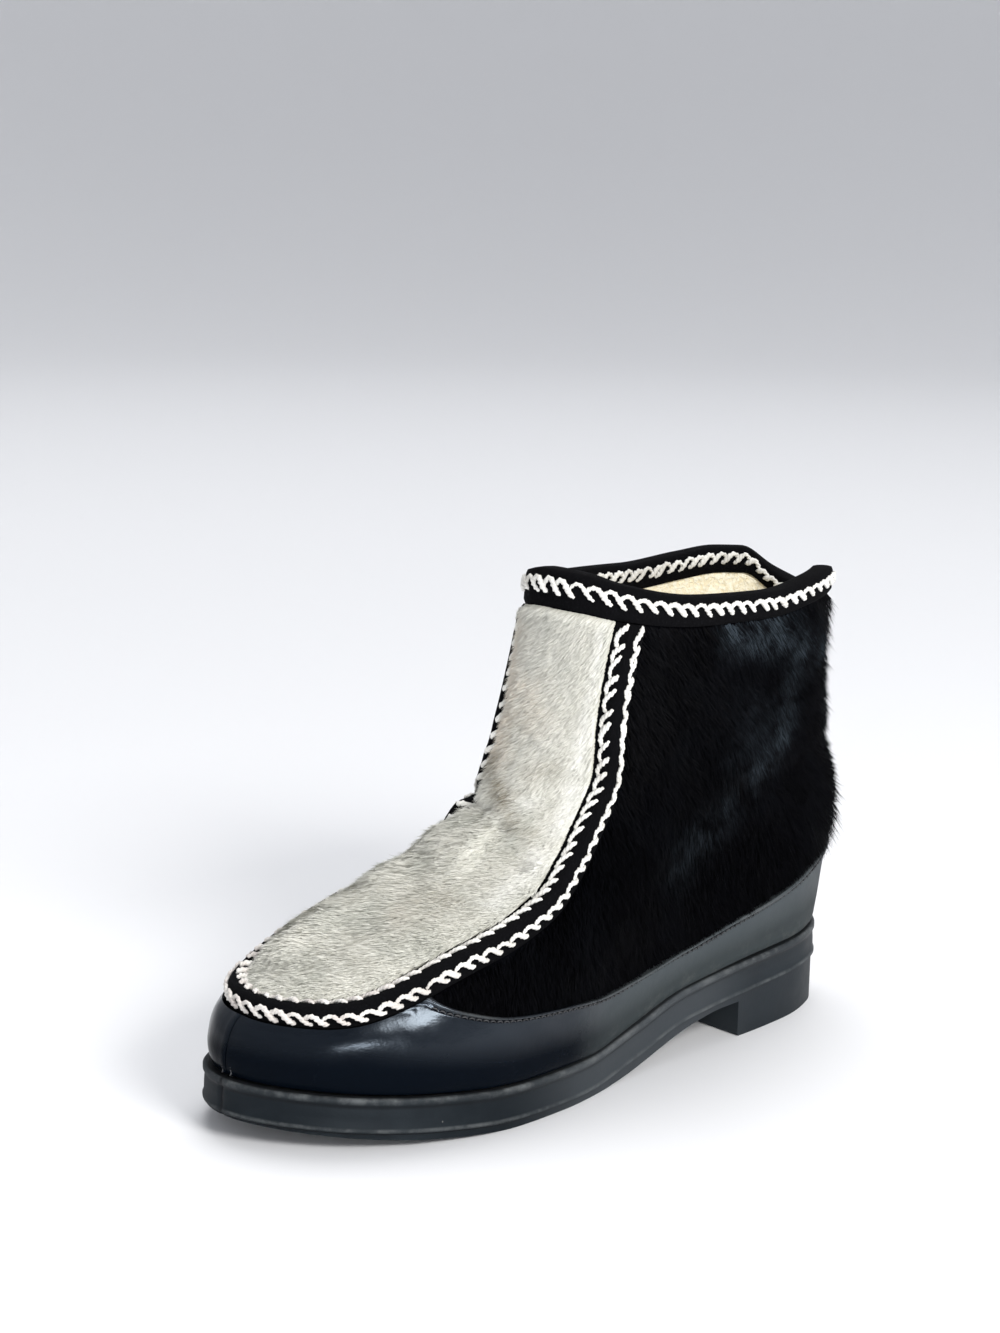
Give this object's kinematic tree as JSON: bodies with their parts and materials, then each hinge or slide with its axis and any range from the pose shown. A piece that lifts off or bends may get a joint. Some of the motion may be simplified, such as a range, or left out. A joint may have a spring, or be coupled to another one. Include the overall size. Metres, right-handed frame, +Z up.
{
  "type": "mukluk boot",
  "caption": "Left ankle boot in black fur with a pale fur front, yarn-braided seams and collar, a leather band round the foot and a moulded wedge sole",
  "frame": {"origin": "the middle of the heel's flat ground face", "axes": "+X toward the toe, +Y toward the outer side of the foot, +Z up"},
  "size_m": [0.281, 0.0955, 0.1798],
  "materials": {
    "sole_rubber": "satin moulded rubber",
    "dark_fur": "short dense black fur",
    "fleece": "cream fleece",
    "pale_fur": "short pale grey fur",
    "band_leather": "smooth black leather",
    "braid_tape": "woven black tape with white yarn"
  },
  "bodies": {
    "root": {"outsole": "sole_rubber", "upper": "dark_fur", "insole": "fleece", "front_panel": "pale_fur", "leather_band_outer": "band_leather", "leather_band_inner": "band_leather", "seam_tape": "braid_tape", "collar_tape": "braid_tape"}
  },
  "joints": []
}
